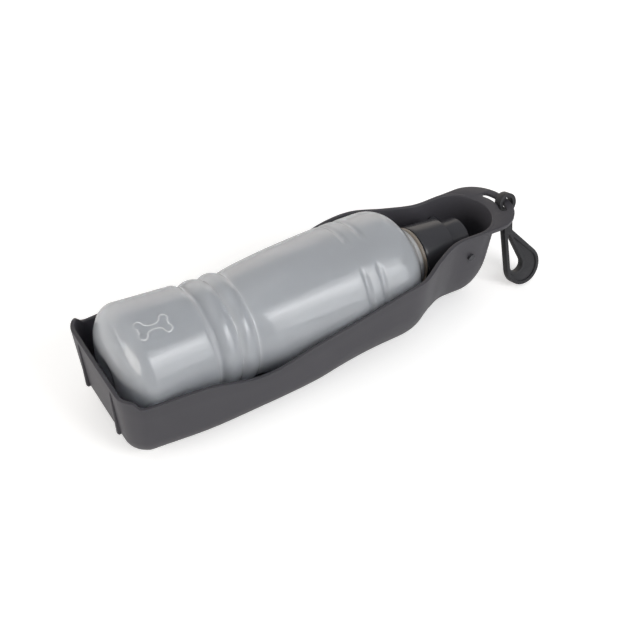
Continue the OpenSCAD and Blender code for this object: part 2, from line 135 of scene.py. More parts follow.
def area_lamp(name, at, aim, size, watts, colour=WHITE[:3]):
    data = bpy.data.lights.new(name, "AREA")
    data.shape = "RECTANGLE"
    data.size, data.size_y = size
    data.energy = watts
    data.color = colour
    lamp = bpy.data.objects.new(name, data)
    bpy.context.scene.collection.objects.link(lamp)
    lamp.location = at
    direction = Vector(aim) - Vector(at)
    lamp.rotation_euler = direction.to_track_quat("-Z", "Y").to_euler()


def make_floor():
    mesh = bpy.data.meshes.new("floor")
    half = FLOOR_HALF
    corners = [(-half, -half, 0), (half, -half, 0), (half, half, 0), (-half, half, 0)]
    mesh.from_pydata(corners, [], [(0, 1, 2, 3)])
    floor = bpy.data.objects.new("floor", mesh)
    bpy.context.scene.collection.objects.link(floor)
    material = bpy.data.materials.new("floor")
    material.use_nodes = True
    tree = material.node_tree
    bsdf = tree.nodes["Principled BSDF"]
    bsdf.inputs["Base Color"].default_value = PALE
    bsdf.inputs["Roughness"].default_value = 0.9
    lift = tree.nodes.new("ShaderNodeMath")
    lift.operation = "MULTIPLY"
    lift.inputs[1].default_value = FLOOR_LIFT
    node_link(tree, seen_directly(tree), "Value", lift, 0)
    node_link(tree, lift, "Value", bsdf, "Emission Strength")
    bsdf.inputs["Emission Color"].default_value = PALE
    mesh.materials.append(material)


MIDDLE = (-0.09, 0.0, 0.04)
BOTTLE_END = (-0.2, 0.0, 0.06)
WARM, FAINTLY_WARM = (1.0, 0.9, 0.8), (1.0, 0.96, 0.9)
SOFT_BOX_AT = Vector((0.24, -0.92, 0.78))
SOFT_BOX_DROP = Vector((0.0, 0.16, -0.4))
SOFT_BOX_W = 0.6
SOFT_BOX_LAYERS = ((0.16, 0.75), (0.4, 1.4), (0.86, 4.2))

make_world()
make_floor()
for height, watts in SOFT_BOX_LAYERS:
    drop = SOFT_BOX_DROP * (height - SOFT_BOX_LAYERS[0][0])
    area_lamp("soft_box", SOFT_BOX_AT + drop, MIDDLE, (SOFT_BOX_W, height), watts)
area_lamp("low_wall", (0.1, 1.35, 0.5), MIDDLE, (2.8, 0.95), 7.5, WARM)
area_lamp("overhead", (-0.3, 0.1, 1.7), MIDDLE, (1.2, 1.2), 2.5)
area_lamp("left_strip", (-1.1, 0.48, 0.3), BOTTLE_END, (0.55, 0.07), 0.7)
area_lamp("left_card", (-1.3, -0.2, 0.4), BOTTLE_END, (0.9, 0.6), 8, FAINTLY_WARM)
bpy.context.scene.view_settings.view_transform = "Standard"
print("lamps:", [light.name for light in bpy.data.lights])

# %% [markdown]
# ## Plastics
# Each plastic is one procedural material. The tray has the fine grain of an eroded mould
# and the cap is smoother and glossier. The bottle's wall is milky. Subsurface scattering
# alone made it look solid, so this is a rough, frosted transmission under a glossy coat:
# the inside shows as soft grey, and the skin still reflects the lamps. The mesh carries an
# attribute that paints the wall lighter or darker. Towards 1 the wall is painted whiter and
# less clear. This is a painted highlight on the bone, the collar and the grooves, and along
# the grooves a thicker wall adds to it. At -1 it has the warm tint of the thick, unblown
# bead and neck, darkened as painted shade between the cap and the shoulder.

# %% Plastics


def new_material(name):
    material = bpy.data.materials.new(name)
    material.use_nodes = True
    tree = material.node_tree
    return material, tree, tree.nodes["Principled BSDF"]


NOISE_DETAIL = 3.0
CLOUD_SCALE, CLOUD_SPREAD = 18, 0.07
GRAIN_DEPTH = 0.0002
MILK_GRAIN = 900


def object_noise(tree, scale):
    where = tree.nodes.new("ShaderNodeTexCoord")
    noise = tree.nodes.new("ShaderNodeTexNoise")
    noise.inputs["Scale"].default_value = scale
    noise.inputs["Detail"].default_value = NOISE_DETAIL
    node_link(tree, where, "Object", noise, "Vector")
    return noise


def bump_from(tree, noise, bsdf, strength):
    bump = tree.nodes.new("ShaderNodeBump")
    bump.inputs["Strength"].default_value = strength
    bump.inputs["Distance"].default_value = GRAIN_DEPTH
    node_link(tree, noise, "Fac", bump, "Height")
    node_link(tree, bump, "Normal", bsdf, "Normal")


def ramp_from(tree, noise, low, high):
    ramp = tree.nodes.new("ShaderNodeValToRGB")
    ramp.color_ramp.elements[0].position = 0.3
    ramp.color_ramp.elements[0].color = low
    ramp.color_ramp.elements[1].position = 0.7
    ramp.color_ramp.elements[1].color = high
    node_link(tree, noise, "Fac", ramp, "Fac")
    return ramp


def satin_plastic(name, shade, rough, shine, grain):
    material, tree, bsdf = new_material(name)
    cloudy = object_noise(tree, CLOUD_SCALE)
    low = tuple(c * (1 - CLOUD_SPREAD) for c in shade) + (1.0,)
    high = tuple(c * (1 + CLOUD_SPREAD) for c in shade) + (1.0,)
    node_link(tree, ramp_from(tree, cloudy, low, high), "Color", bsdf, "Base Color")
    bump_from(tree, object_noise(tree, grain), bsdf, 0.2)
    bsdf.inputs["Roughness"].default_value = rough
    bsdf.inputs["Specular IOR Level"].default_value = shine
    return material


# Bottle colours: the neck's warm tint darkened as painted shade, the milky wall, and the
# whitest for painted highlight (along the grooves also a thicker wall)
NECK_TINT_AND_SHADOW = (0.66, 0.57, 0.48, 1.0)
MILK_SHADE = (0.66, 0.682, 0.712, 1.0)
THICK_AND_HIGHLIGHT_SHADE = (0.97, 0.97, 0.97, 1.0)


def milky_plastic():
    material, tree, bsdf = new_material("bottle_plastic")
    milk_and_painted_light = tree.nodes.new("ShaderNodeAttribute")
    milk_and_painted_light.attribute_name = "milk_and_painted_light"
    share = tree.nodes.new("ShaderNodeMapRange")
    share.inputs["From Min"].default_value = -1.0
    node_link(tree, milk_and_painted_light, "Fac", share, "Value")
    ramp = tree.nodes.new("ShaderNodeValToRGB")
    ramp.color_ramp.elements[0].color = NECK_TINT_AND_SHADOW
    ramp.color_ramp.elements[1].color = THICK_AND_HIGHLIGHT_SHADE
    ramp.color_ramp.elements.new(0.5).color = MILK_SHADE
    node_link(tree, share, "Result", ramp, "Fac")
    node_link(tree, ramp, "Color", bsdf, "Base Color")
    clear = tree.nodes.new("ShaderNodeMapRange")
    clear.inputs["To Min"].default_value = 0.7
    clear.inputs["To Max"].default_value = 0.3
    node_link(tree, milk_and_painted_light, "Fac", clear, "Value")
    node_link(tree, clear, "Result", bsdf, "Transmission Weight")
    bsdf.inputs["Roughness"].default_value = 0.85
    bsdf.inputs["IOR"].default_value = 1.3
    bsdf.inputs["Coat Weight"].default_value = 1.0
    bsdf.inputs["Coat Roughness"].default_value = 0.12
    bump_from(tree, object_noise(tree, MILK_GRAIN), bsdf, 0.06)
    return material


def pale_rubber():
    material, tree, bsdf = new_material("seal_rubber")
    bsdf.inputs["Base Color"].default_value = (0.6, 0.6, 0.58, 1.0)
    bsdf.inputs["Roughness"].default_value = 0.6
    return material


tray_plastic = satin_plastic("tray_plastic", (0.056, 0.054, 0.062), 0.42, 0.3, 1500)
strap_plastic = satin_plastic("strap_plastic", (0.027, 0.027, 0.03), 0.45, 0.25, 1800)
cap_plastic = satin_plastic("cap_plastic", (0.047, 0.047, 0.053), 0.26, 0.3, 700)
bottle_plastic = milky_plastic()
seal_rubber = pale_rubber()
print("materials:", [material.name for material in bpy.data.materials])

# %% [markdown]
# ## Meshes from rings
# Everything turned or lofted here is a stack of rings with the same number of points, and
# one helper joins ring to ring. Each piece closes its own two ends, the bottle with a fan
# to a middle point and the tray with strips across its floor. The normals are then worked
# out again, so that all faces point outwards.

# %% Ring meshes


def smooth(mesh, angle=35.0):
    mesh.shade_smooth()
    mesh.set_sharp_from_angle(angle=math.radians(angle))
    return mesh


def ring_faces(rings, points):
    faces = []
    for j in range(rings - 1):
        a, b = j * points, (j + 1) * points
        for i in range(points):
            k = (i + 1) % points
            faces.append((a + i, a + k, b + k, b + i))
    return faces


def piece_from(name, mesh, material):
    obj = bpy.data.objects.new(name, mesh)
    mesh.materials.clear()
    mesh.materials.append(material)
    bpy.context.scene.collection.objects.link(obj)
    return obj


def outward_faces(mesh):
    bm = bmesh.new()
    bm.from_mesh(mesh)
    bmesh.ops.recalc_face_normals(bm, faces=bm.faces)
    bm.to_mesh(mesh)
    bm.free()
    return mesh


# %% [markdown]
# ## The bottle
# The blown bottle is one turned skin. Its outline runs from the pushed-up base over two
# grip ribs, the body and the shoulder to the bead. It could be a Screw modifier on a drawn
# profile, but rings made in code can be packed closely where the fine relief is, and wide
# apart where the wall is plain or inside.

# %% Bottle profile
BOTTLE_WALL = 1.1
BASE_X = -210.0
BASE_R, BASE_END_R = 32.2, 30.2
BASE_ROUND = (14.0, 23.0)
PUSH_UP = 1.6
GROOVES = (-163.2, -149.9, -140.2)
GRIP_R, GRIP_RIB = 27.8, 1.9
BEAD_X, BEAD_R, BEAD_T = -29.8, 17.0, 2.4
COLLAR_X, BEIGE_X = -34.5, BEAD_X - 1.2
NECK_R, NECK_BORE_R, LIP_X = 13.7, 11.6, -10.85
BODY_KEYS = [
    (GROOVES[2], GRIP_R), (-136.4, GRIP_R + 0.7), (-131, GRIP_R + 1.6),
    (-123.8, GRIP_R + 2.4), (-111, 31.4), (-92, 32.5), (-78, 33.0), (-58, 33.0),
    (-50, 32.8), (-46, 31.8), (-41.8, 29.3), (-37.8, 24.7), (-34, 19.8), (-31, 17.8),
    (BEAD_X, BEAD_R),
]
STEP_TO_GRIP = [
    (BASE_END_R - 0.1, -2.0), (BASE_END_R - 0.35, -1.3), (BASE_END_R - 1.0, -0.6),
    (GRIP_R + 0.55, 0.4), (GRIP_R + 0.2, 1.2),
]
RIB_SPANS = ((GROOVES[0] + 2.2, GROOVES[1]), (GROOVES[1], GROOVES[2]))
RIB_FULLNESS = 2.1
FINE_STEP, COARSE_STEP, FINE_END_X = 0.3, 2.0, -177.0


def curve(keys, x):
    """Smooth curve through keys of (place, value), the same rule as in the CAD source."""
    keys = np.asarray(keys, float)
    x = np.asarray(x, float)
    last = len(keys) - 1
    k = np.clip(np.searchsorted(keys[:, 0], x, side="right") - 1, 0, last - 1)

    def slope(i):
        a, b = keys[np.maximum(i - 1, 0)], keys[np.minimum(i + 1, last)]
        return (b[..., 1] - a[..., 1]) / (b[..., 0] - a[..., 0])

    x0, v0, x1, v1 = keys[k, 0], keys[k, 1], keys[k + 1, 0], keys[k + 1, 1]
    h = x1 - x0
    t = np.clip((x - x0) / h, 0, 1)
    return ((2 * t**3 - 3 * t**2 + 1) * v0 + (t**3 - 2 * t**2 + t) * h * slope(k)
            + (3 * t**2 - 2 * t**3) * v1 + (t**3 - t**2) * h * slope(k + 1))


def body_profile(wall, step, shoulder_rows):
    """Points (radius, x) along the wall, from the base's flat to the bead."""
    rx, rr = BASE_ROUND
    points = []
    for a in np.linspace(0, math.pi / 2, 23):
        points.append((BASE_R - rr + (rr - wall) * math.sin(a),
                       BASE_X + rx - (rx - wall) * math.cos(a)))
    start, end = BASE_X + rx, GROOVES[0] - 2.6
    under_bone = np.arange(start + step, FINE_END_X, step)
    for x in np.concatenate([under_bone, np.arange(FINE_END_X, end, COARSE_STEP)]):
        share = (x - start) / (end - start)
        points.append((BASE_R + (BASE_END_R - BASE_R) * share - wall, x))
    points += [(radius - wall, GROOVES[0] + dx) for radius, dx in STEP_TO_GRIP]
    for first, last in RIB_SPANS:
        for t in np.linspace(0, 1, 25)[:-1]:
            height = GRIP_RIB * (1 - abs(2 * t - 1) ** RIB_FULLNESS)
            points.append((GRIP_R + height - wall, first + (last - first) * t))
    for x in np.linspace(GROOVES[2], BEAD_X, shoulder_rows):
        points.append((float(curve(BODY_KEYS, x)) - wall, x))
    return points


print("the outline runs from x =", BASE_X, "to", BEAD_X, "mm, with grooves at", GROOVES)

# %% [markdown]
# ## The bottle's relief
# Two details break the bottle's symmetry. The finger grooves on the shoulder fade out beside
# a smooth panel, and the bone is a raised line on the base section that faces the same way.
# A sculpted or displaced surface could carry them, but here both are heights added along the
# radius, so they are part of the mesh. The outline of the bone comes from a distance field:
# four round knobs, a disc between each pair and a waisted shaft, whose zero line is raised.

# %% Bottle relief
PANEL_TURN = math.radians(25.5)
FINGER_X = (-76.0, -66.5)
FINGER_W, FINGER_DEPTH = 2.9, 0.85
FINGER_END, FINGER_FADE = math.radians(9), math.radians(16)
BONE_X, BONE_TURN = -188.1, math.radians(19)
BONE_R = 31.6
BONE_LINE, BONE_HIGH = 0.36, 0.26
# Shares of painted light on the outer skin: whiter on the bone, the collar and the grooves,
# darker on the neck band
BONE_HIGHLIGHT_SHARE, COLLAR_HIGHLIGHT_SHARE, NECK_TINT_AND_SHADOW_SHARE = 0.8, 0.4, -1.0
GROOVE_WALL_AND_HIGHLIGHT_SHARE, GROOVE_WIDTH = 0.3, 1.3


def ease(t):
    t = np.clip(t, 0, 1)
    return t * t * (3 - 2 * t)


def finger_depth(x, turn):
    from_panel = np.abs((turn - PANEL_TURN + math.pi) % (2 * math.pi) - math.pi)
    fade = ease((from_panel - FINGER_END) / FINGER_FADE)
    depth = np.zeros_like(x)
    for place in FINGER_X:
        inside = np.maximum(FINGER_W**2 - (x - place) ** 2, 0)
        depth = np.maximum(depth, np.sqrt(inside) - (FINGER_W - FINGER_DEPTH))
    return np.maximum(depth, 0) * fade


def bone_distance(along, across):
    """Signed distance in mm to a bone of knobs, discs and a slightly waisted shaft."""
    along, across = np.abs(along), np.abs(across)
    knob = np.hypot(along - 6.4, across - 2.8) - 2.1
    knob = np.minimum(knob, np.hypot(along - 5.4, across) - 2.3)
    shaft = np.maximum(across - (1.15 + 0.06 * along**2), along - 5.0)
    blend = 1.6
    h = np.clip(0.5 + 0.5 * (shaft - knob) / blend, 0, 1)
    return shaft * (1 - h) + knob * h - blend * h * (1 - h)


def bone_height(x, turn):
    along = x - BONE_X
    across = (turn - BONE_TURN) * BONE_R
    near = (np.abs(along) < 11) & (np.abs(across) < 8)
    d = bone_distance(along, across)
    return np.where(near, np.exp(-((d / BONE_LINE) ** 2)), 0.0)


def turns():
    """Angles from the top towards the near side, dense across the bone."""
    bone = np.arange(BONE_TURN - 0.24, BONE_TURN + 0.24, 0.3 / BONE_R)
    panel = np.arange(BONE_TURN + 0.24, BONE_TURN + 0.75, math.radians(1.2))
    rest = np.linspace(BONE_TURN + 0.76, BONE_TURN - 0.25 + 2 * math.pi, 120)
    return np.concatenate([bone, panel, rest])


def make_bottle():
    turn = turns()
    outer = body_profile(0.0, FINE_STEP, 150)
    rows = [(BASE_R - BASE_ROUND[1] - 3, BASE_X + PUSH_UP / 2)] + outer
    rows += [(BEAD_R - 0.5, BEAD_X + 0.15), (BEAD_R - 0.5, BEAD_X + 0.4),
             (BEAD_R - 0.1, BEAD_X + 0.7), (BEAD_R, BEAD_X + 1.1),
             (BEAD_R - 0.05, BEAD_X + BEAD_T - 0.8), (BEAD_R - 0.25, BEAD_X + BEAD_T - 0.3),
             (BEAD_R - 0.7, BEAD_X + BEAD_T),
             (NECK_R, BEAD_X + BEAD_T), (NECK_R, LIP_X - 0.3), (NECK_R - 0.3, LIP_X),
             (NECK_BORE_R + 0.3, LIP_X), (NECK_BORE_R, LIP_X - 0.3),
             (NECK_BORE_R, BEAD_X + 1)]
    n_outer = len(rows) - 1
    rows += body_profile(BOTTLE_WALL, COARSE_STEP, 80)[::-1]
    rows += [(BASE_R - BASE_ROUND[1] - 3, BASE_X + PUSH_UP / 2 + BOTTLE_WALL)]
    verts, milk_and_painted_light = [], []
    for j, (radius, x) in enumerate(rows):
        places = np.full(len(turn), x)
        relief = -finger_depth(places, turn)
        light = np.zeros(len(turn))
        if j < n_outer:
            bone = bone_height(places, turn)
            relief = relief + BONE_HIGH * bone
            # painted highlight: the bone's raised line is painted whiter
            light = np.maximum(light, BONE_HIGHLIGHT_SHARE * bone)
        # a whiter band along each groove: partly a thicker wall, partly a painted highlight
        for line in GROOVES:
            band = math.exp(-(((x - line) / GROOVE_WIDTH) ** 2))
            light = np.maximum(light, GROOVE_WALL_AND_HIGHLIGHT_SHARE * band)
        # painted highlight: the collar ring is painted whiter
        if j < n_outer and COLLAR_X < x <= BEIGE_X:
            light = np.full(len(turn), COLLAR_HIGHLIGHT_SHARE)
        # the bead and neck get their warm tint, darkened as painted shade between cap and
        # shoulder
        if j < n_outer and x > BEIGE_X:
            light = np.full(len(turn), NECK_TINT_AND_SHADOW_SHARE)
        rr = radius + relief
        verts += list(zip(places * MM, -rr * np.sin(turn) * MM,
                          (AXIS_Z + rr * np.cos(turn)) * MM))
        milk_and_painted_light += list(light)
    points = len(turn)
    faces = ring_faces(len(rows), points)
    first, last = len(verts), len(verts) + 1
    verts += [((BASE_X + PUSH_UP) * MM, 0, AXIS_Z * MM),
              ((BASE_X + PUSH_UP + BOTTLE_WALL) * MM, 0, AXIS_Z * MM)]
    milk_and_painted_light += [0.0, 0.0]
    top = (len(rows) - 1) * points
    for i in range(points):
        k = (i + 1) % points
        faces += [(first, k, i), (last, top + i, top + k)]
    mesh = bpy.data.meshes.new("milky_bottle")
    mesh.from_pydata([tuple(map(float, v)) for v in verts], [], faces)
    outward_faces(mesh)
    attribute = mesh.attributes.new("milk_and_painted_light", "FLOAT", "POINT")
    attribute.data.foreach_set("value", np.array(milk_and_painted_light, dtype=np.float32))
    smooth(mesh, 50)
    piece = piece_from("milky_bottle", mesh, bottle_plastic)
    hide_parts("bottle")
    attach(piece, "bottle")
    print("bottle:", len(rows), "rings of", points, "points")


make_bottle()

# %% [markdown]
# ## The tray
# The tray is a loft, and every section of it comes from a few rules along its length: how
# wide the rim is, how high it stands, and how wide and high the rounding under it is. The
# rings run from the edge of the flat floor outside, up the wall, over the rim, and down
# again inside, one wall thickness deeper. This is the rule of the CAD source with more steps
# and a rounder rim.

# %% Tray rules
TRAY_BACK, TRAY_WALL = 216.2, 2.2
END_HALF_W, BELLY_HALF_W, SHOULDER_HALF_W = 36.2, 38.8, 37.0
BOWL_R, BOWL_X, CORNER_R, FLOOR_CORNER = 20.7, 5.0, 11.0, 4.0
SIDE_DRAFT, END_DRAFT = math.radians(4), math.radians(7)
EAR_H, BASE_RIM_H, GRIP_RIM_H, BOWL_RIM_H = 47.0, 42.0, 33.0, 53.0
BELLY_X, GRIP_X, SHOULDER_X, THROAT_X = -173.0, -142.0, -60.0, -12.0
LUG_R, LUG_X, LUG_T, BAR_W, SLOT_W = 21.0, 18.5, 2.4, 4.2, 4.6
SLOT_HALF = math.radians(31)
FIN_Y, FIN_T, FIN_LOW = 18.5, 1.8, 13.5
PIN_Z, PIN_BORE_R = 38.6, 2.06
RIM_EDGE = 0.5
CORNER_STEPS, SIDE_STEPS, BOWL_STEPS, ROUND_STEPS = 16, 170, 48, 12

WIDTH_KEYS = [
    (-TRAY_BACK, END_HALF_W - 1.4), (-TRAY_BACK + 14, END_HALF_W),
    (BELLY_X, BELLY_HALF_W), (GRIP_X, BELLY_HALF_W - 1.2), (-111, SHOULDER_HALF_W + 0.3),
    (-80, SHOULDER_HALF_W - 0.1), (SHOULDER_X, SHOULDER_HALF_W),
    (-44, SHOULDER_HALF_W - 1.6), (-28, (SHOULDER_HALF_W + BOWL_R) / 2 - 1.6),
    (THROAT_X, BOWL_R + 0.2), (BOWL_X, BOWL_R),
]
MEAN_RIM_H = (GRIP_RIM_H + BOWL_RIM_H) / 2
RIM_KEYS = [
    (-TRAY_BACK, EAR_H), (-TRAY_BACK + 4.6, EAR_H), (-TRAY_BACK + 8.4, BASE_RIM_H + 0.8),
    (-TRAY_BACK + 14, BASE_RIM_H), (BELLY_X, BASE_RIM_H), (GRIP_X, GRIP_RIM_H),
    (-111, MEAN_RIM_H - 4), (-80, MEAN_RIM_H + 1.6), (SHOULDER_X, BOWL_RIM_H - 3.6),
    (-45, BOWL_RIM_H - 2.2), (THROAT_X, BOWL_RIM_H), (BOWL_X + LUG_R, BOWL_RIM_H),
]
ROUND_W_KEYS = [(-TRAY_BACK, 14), (BELLY_X, 18), (-111, 17), (-85, 21), (SHOULDER_X, 23),
                (THROAT_X, 16), (BOWL_X, 16)]
ROUND_H_KEYS = [(-TRAY_BACK, 17), (BELLY_X, 16), (-111, 17), (-85, 25), (SHOULDER_X, 29),
                (BOWL_X, 29)]


def floor_inset(x, draft=SIDE_DRAFT):
    return curve(RIM_KEYS, x) * math.tan(draft) + curve(ROUND_W_KEYS, x)


def plan(back, corner, bowl, inset):
    """A closed outline, counter-clockwise from the middle of the end wall."""
    start = -back + corner

    def half(x):
        return curve(WIDTH_KEYS, x) - inset(x)

    a = math.pi + 0.5 * math.pi * np.arange(CORNER_STEPS) / CORNER_STEPS
    near = np.column_stack([start + corner * np.cos(a),
                            corner - half(start) + corner * np.sin(a)])
    x = np.linspace(start, BOWL_X, SIDE_STEPS, endpoint=False)
    near = np.concatenate([near, np.column_stack([x, -half(x)])])
    b = math.pi * (np.arange(BOWL_STEPS + 1) / BOWL_STEPS - 0.5)
    end = np.column_stack([BOWL_X + bowl * np.cos(b), bowl * np.sin(b)])
    return np.concatenate([near, end, near[::-1] * (1, -1)])


RIM_PLAN = plan(TRAY_BACK, CORNER_R, BOWL_R, lambda x: 0.0)
FLOOR_PLAN = plan(TRAY_BACK - float(floor_inset(-TRAY_BACK, END_DRAFT)), FLOOR_CORNER,
                  BOWL_R - float(floor_inset(BOWL_X)), floor_inset)
AHEAD = np.roll(RIM_PLAN, -1, axis=0) - np.roll(RIM_PLAN, 1, axis=0)
OUTWARD = np.column_stack([AHEAD[:, 1], -AHEAD[:, 0]])
OUTWARD /= np.linalg.norm(OUTWARD, axis=1)[:, None]
RIM_TOP = curve(RIM_KEYS, RIM_PLAN[:, 0])


def wall_ring(skin, angle, up):
    across = curve(ROUND_W_KEYS, RIM_PLAN[:, 0]) - skin
    high = curve(ROUND_H_KEYS, RIM_PLAN[:, 0])
    if up > 0:
        z = high + (RIM_TOP - RIM_EDGE - high) * up
    else:
        z = high - (high - skin) * math.sin(angle)
    share = 1 - ((RIM_TOP - z) * math.tan(SIDE_DRAFT) + across * (1 - math.cos(angle))) / (
        (RIM_TOP - skin) * math.tan(SIDE_DRAFT) + across)
    xy = FLOOR_PLAN + (RIM_PLAN - OUTWARD * skin - FLOOR_PLAN) * share[:, None]
    return np.column_stack([xy, z])


def rim_ring(depth, drop):
    return np.column_stack([RIM_PLAN - OUTWARD * depth, RIM_TOP - drop])


def tray_shell():
    quarter = np.linspace(0, math.pi / 2, ROUND_STEPS + 1)
    over = np.linspace(0, math.pi / 2, 4)
    rings = [wall_ring(0, a, 0) for a in quarter[::-1]]
    rings += [wall_ring(0, 0, up) for up in (0.33, 0.66, 1)]
    rings += [rim_ring(RIM_EDGE * (1 - math.cos(b)), RIM_EDGE * (1 - math.sin(b)))
              for b in over[1:]]
    rings += [rim_ring(TRAY_WALL - RIM_EDGE * (1 - math.sin(b)),
                       RIM_EDGE * (1 - math.cos(b))) for b in over[:-1]]
    rings += [wall_ring(TRAY_WALL, 0, up) for up in (1, 0.66, 0.33)]
    rings += [wall_ring(TRAY_WALL, a, 0) for a in quarter]
    n = len(RIM_PLAN)
    faces = ring_faces(len(rings), n)
    for first in (0, (len(rings) - 1) * n):
        for k in range((n - 1) // 2 - 1):
            faces.append((first + k, first + k + 1, first + n - 2 - k, first + n - 1 - k))
        middle = first + (n - 1) // 2
        faces.append((middle - 1, middle, middle + 1))
    mesh = bpy.data.meshes.new("shell")
    mesh.from_pydata((np.concatenate(rings) * MM).tolist(), [], faces)
    return outward_faces(mesh)


print("tray: rings of", len(RIM_PLAN), "points, rim from", RIM_TOP.min(), "to", RIM_TOP.max())

# %% [markdown]
# ## The tray's details
# The lug and the two fins are flat plates with small rounded edges. A filled 2D curve with a
# bevel makes such a plate from its outline, and a second outline in it is the slot. They are
# sunk into the shell as moulded parts are, and a Boolean drills the bores for the trunnions.

# %% Tray details


def plate(outlines, thickness, edge):
    """A flat plate with rounded edges: the first outline is its rim, the others are holes."""
    data = bpy.data.curves.new("plate", "CURVE")
    data.dimensions = "2D"
    data.fill_mode = "BOTH"
    data.extrude = (thickness / 2 - edge) * MM
    data.bevel_depth = edge * MM
    data.bevel_resolution = 2
    data.offset = -edge * MM
    for points in outlines:
        spline = data.splines.new("POLY")
        spline.points.add(len(points) - 1)
        spline.points.foreach_set(
            "co", [c for x, y in points for c in (x * MM, y * MM, 0.0, 1.0)])
        spline.use_cyclic_u = True
    host = bpy.data.objects.new("plate", data)
    bpy.context.scene.collection.objects.link(host)
    bpy.context.view_layer.update()
    evaluated = host.evaluated_get(bpy.context.evaluated_depsgraph_get())
    mesh = bpy.data.meshes.new_from_object(evaluated)
    bpy.data.objects.remove(host)
    bm = bmesh.new()
    bm.from_mesh(mesh)
    bmesh.ops.remove_doubles(bm, verts=bm.verts, dist=1e-6)
    bmesh.ops.recalc_face_normals(bm, faces=bm.faces)
    bm.to_mesh(mesh)
    bm.free()
    return mesh


def arc(cx, cy, radius, a0, a1, steps):
    return [(cx + radius * math.cos(a), cy + radius * math.sin(a))
            for a in np.linspace(a0, a1, steps)]


def lug_mesh():
    right = math.pi / 2
    inner_r = BOWL_R - TRAY_WALL + RIM_EDGE
    outline = arc(LUG_X, 0, LUG_R, -right, right, 61) + [(BOWL_X, BOWL_R)]
    outline += arc(BOWL_X, 0, inner_r, right, -right, 49) + [(BOWL_X, -BOWL_R)]
    middle_r, end_r = LUG_R - BAR_W - SLOT_W / 2, SLOT_W / 2
    tip_x = LUG_X + middle_r * math.cos(SLOT_HALF)
    tip_y = middle_r * math.sin(SLOT_HALF)
    slot = arc(LUG_X, 0, middle_r + end_r, -SLOT_HALF, SLOT_HALF, 33)
    slot += arc(tip_x, tip_y, end_r, SLOT_HALF, SLOT_HALF + math.pi, 17)[1:-1]
    slot += arc(LUG_X, 0, middle_r - end_r, SLOT_HALF, -SLOT_HALF, 33)
    slot += arc(tip_x, -tip_y, end_r, math.pi - SLOT_HALF, 2 * math.pi - SLOT_HALF, 17)[1:-1]
    mesh = plate([outline, slot], LUG_T, 0.45)
    mesh.transform(Matrix.Translation((0, 0, (BOWL_RIM_H - LUG_T / 2 + 0.02) * MM)))
    return mesh


def fin_mesh(side):
    top = -TRAY_BACK + TRAY_WALL / 2
    low = top + (EAR_H - FIN_LOW) * math.tan(END_DRAFT)
    outline = [(-TRAY_BACK + 0.5, EAR_H - 2), (-TRAY_BACK - 0.2, EAR_H - 4),
               (-TRAY_BACK + 1, FIN_LOW + 1), (-TRAY_BACK + 1.8, FIN_LOW),
               (low + 1, FIN_LOW), (top, EAR_H - 2)]
    mesh = plate([outline], FIN_T, 0.35)
    stand = Matrix.Rotation(math.radians(90), 4, "X")
    mesh.transform(Matrix.Translation((0, side * FIN_Y * MM, 0)) @ stand)
    return mesh


def with_pin_holes(mesh):
    bm = bmesh.new()
    bmesh.ops.create_cone(bm, cap_ends=True, segments=48, radius1=PIN_BORE_R * MM,
                          radius2=PIN_BORE_R * MM, depth=4 * BOWL_R * MM)
    lie = Matrix.Rotation(math.radians(90), 4, "X")
    bm.transform(Matrix.Translation((0, 0, PIN_Z * MM)) @ lie)
    drill_mesh = bpy.data.meshes.new("drill")
    bm.to_mesh(drill_mesh)
    bm.free()
    drill = bpy.data.objects.new("drill", drill_mesh)
    host = bpy.data.objects.new("host", mesh)
    for obj in (drill, host):
        bpy.context.scene.collection.objects.link(obj)
    cut = host.modifiers.new("cut", "BOOLEAN")
    cut.object = drill
    cut.operation = "DIFFERENCE"
    cut.solver = "EXACT"
    bpy.context.view_layer.update()
    evaluated = host.evaluated_get(bpy.context.evaluated_depsgraph_get())
    shaped = bpy.data.meshes.new_from_object(evaluated)
    host.modifiers.clear()
    bpy.data.objects.remove(host)
    bpy.data.objects.remove(drill)
    return shaped


def joined(name, meshes):
    bm = bmesh.new()
    for mesh in meshes:
        bm.from_mesh(mesh)
    whole = bpy.data.meshes.new(name)
    bm.to_mesh(whole)
    bm.free()
    return whole


def make_tray():
    parts = [with_pin_holes(tray_shell()), lug_mesh(), fin_mesh(-1), fin_mesh(1)]
    mesh = smooth(joined("moulded_tray", parts), 32)
    piece = piece_from("moulded_tray", mesh, tray_plastic)
    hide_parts("tray")
    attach(piece, "tray")
    print("tray:", len(mesh.polygons), "faces")


make_tray()

# %% [markdown]
# ## The thread
# The thread between neck and cap is a rule-shaped piece: a ridge swept along a helix. A
# small Geometry Nodes group draws it from named inputs, so that the neck's ridge and the
# cap's are the same rule with other numbers. The spiral is reversed, because the bottle
# unscrews as a right-handed thread does, and the cap's ridge lies half a pitch from the
# neck's, so the two pass each other.

# %% Thread


